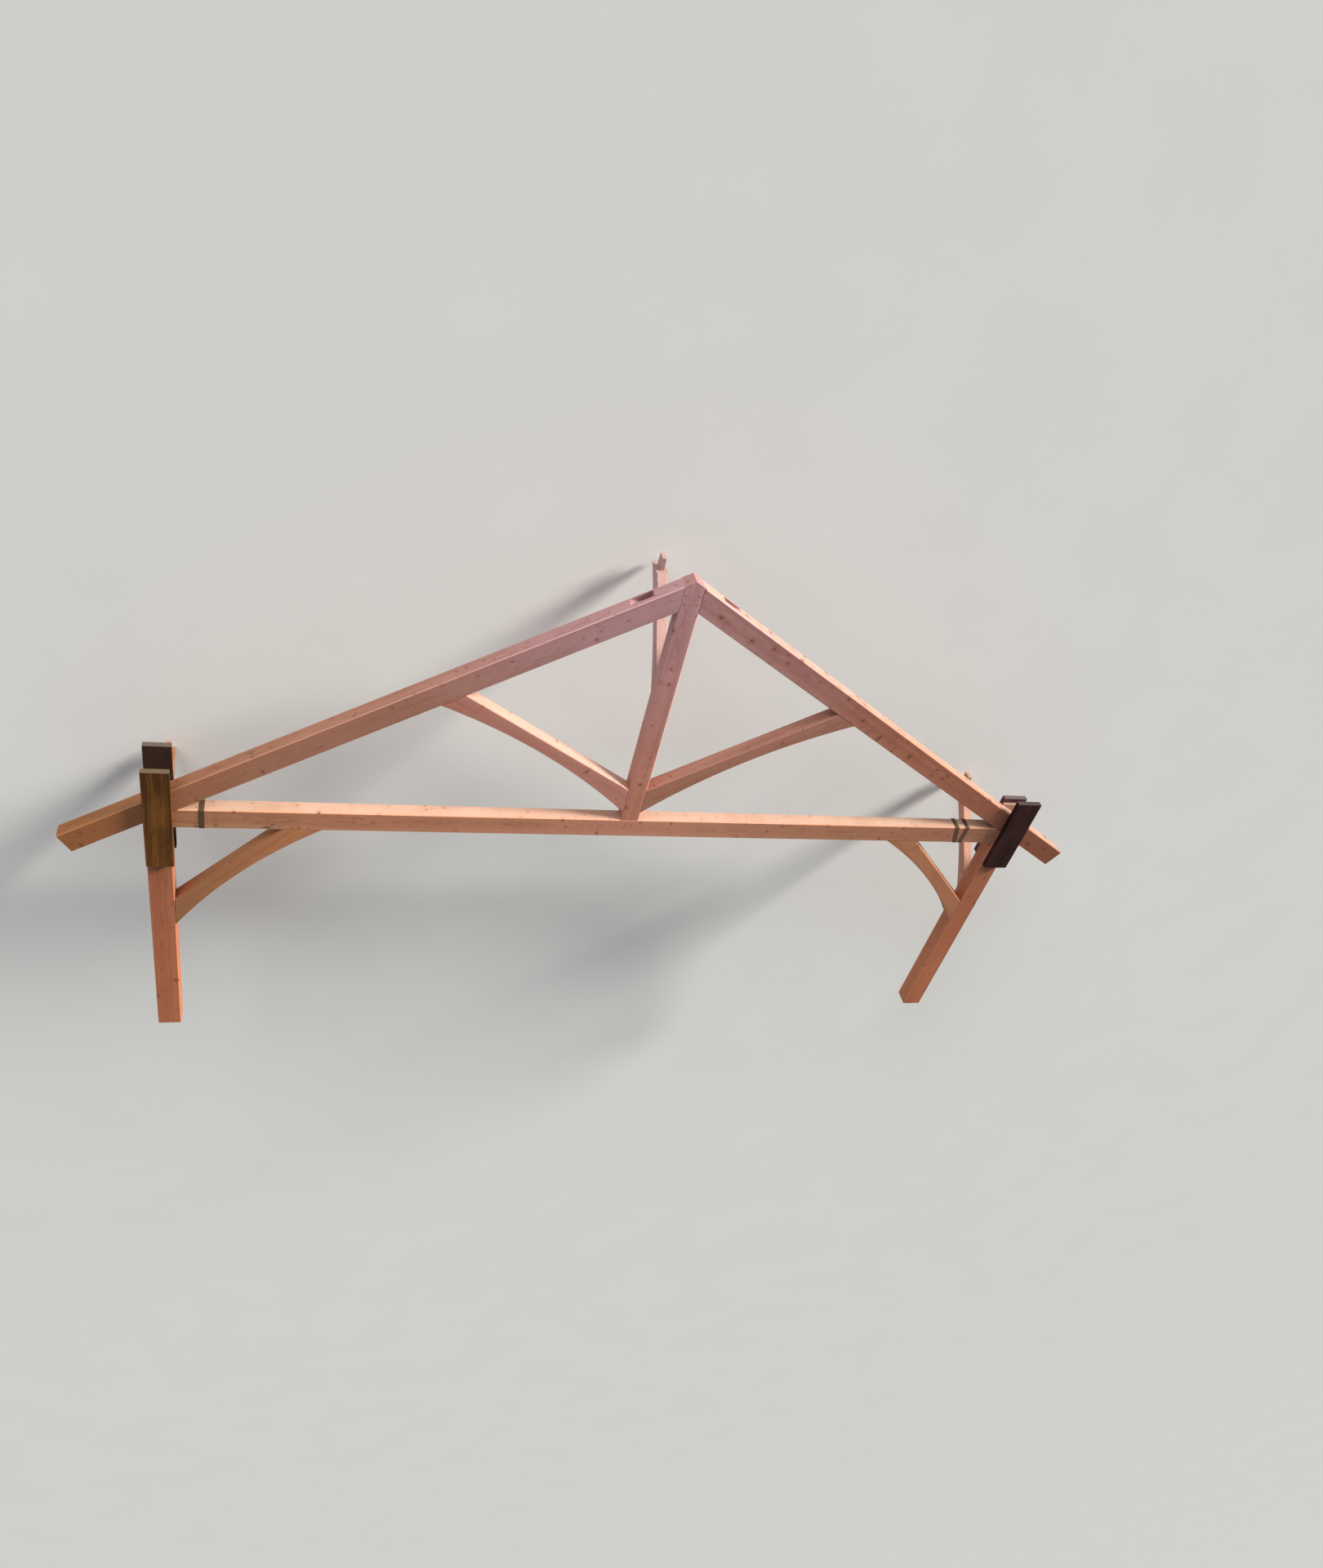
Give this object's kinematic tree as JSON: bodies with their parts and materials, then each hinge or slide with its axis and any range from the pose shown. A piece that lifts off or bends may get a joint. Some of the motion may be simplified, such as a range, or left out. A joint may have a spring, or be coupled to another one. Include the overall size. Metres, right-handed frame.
{
  "type": "king-post roof truss",
  "caption": "Heavy-timber king-post roof truss bent: two rafters, tie beam, arched struts, posts with arched knee braces and rearward braces.",
  "frame": {"origin": "middle of the bent's outline, at the level of the floor it lies on", "axes": "+X across the span to the right seen from the front, +Y from the post feet to the peak, +Z from the rear to the front; the bent lies with its front face up on the tips of its three rear braces"},
  "size_m": [14.178, 7.9964, 1.6803],
  "materials": {
    "timber": "planed softwood, satin",
    "board": "rough-sawn, weathered dark",
    "peg": "turned hardwood, satin",
    "webbing": "woven webbing, matt"
  },
  "bodies": {
    "root": {"rafter_left": "timber", "rafter_right": "timber", "king_post": "timber", "tie_beam": "timber", "strut_left": "timber", "strut_right": "timber", "post_left": "timber", "post_right": "timber", "knee_brace_left": "timber", "knee_brace_right": "timber", "ridge_brace": "timber", "eave_brace_left": "timber", "eave_brace_right": "timber", "board_front_left": "board", "board_front_right": "board", "board_rear_left": "board", "board_rear_right": "board", "packer_right": "timber", "pegs_king_head": "peg", "pegs_king_foot": "peg", "pegs_strut_feet": "peg", "pegs_strut_head_left": "peg", "pegs_strut_head_right": "peg", "pegs_knee_tie_left": "peg", "pegs_knee_tie_right": "peg", "pegs_knee_post_left": "peg", "pegs_knee_post_right": "peg", "pegs_tie_post_left": "peg", "pegs_tie_post_right": "peg", "pegs_rafter_post_left": "peg", "pegs_rafter_post_right": "peg", "strap_left": "webbing", "strap_right": "webbing"}
  },
  "joints": []
}
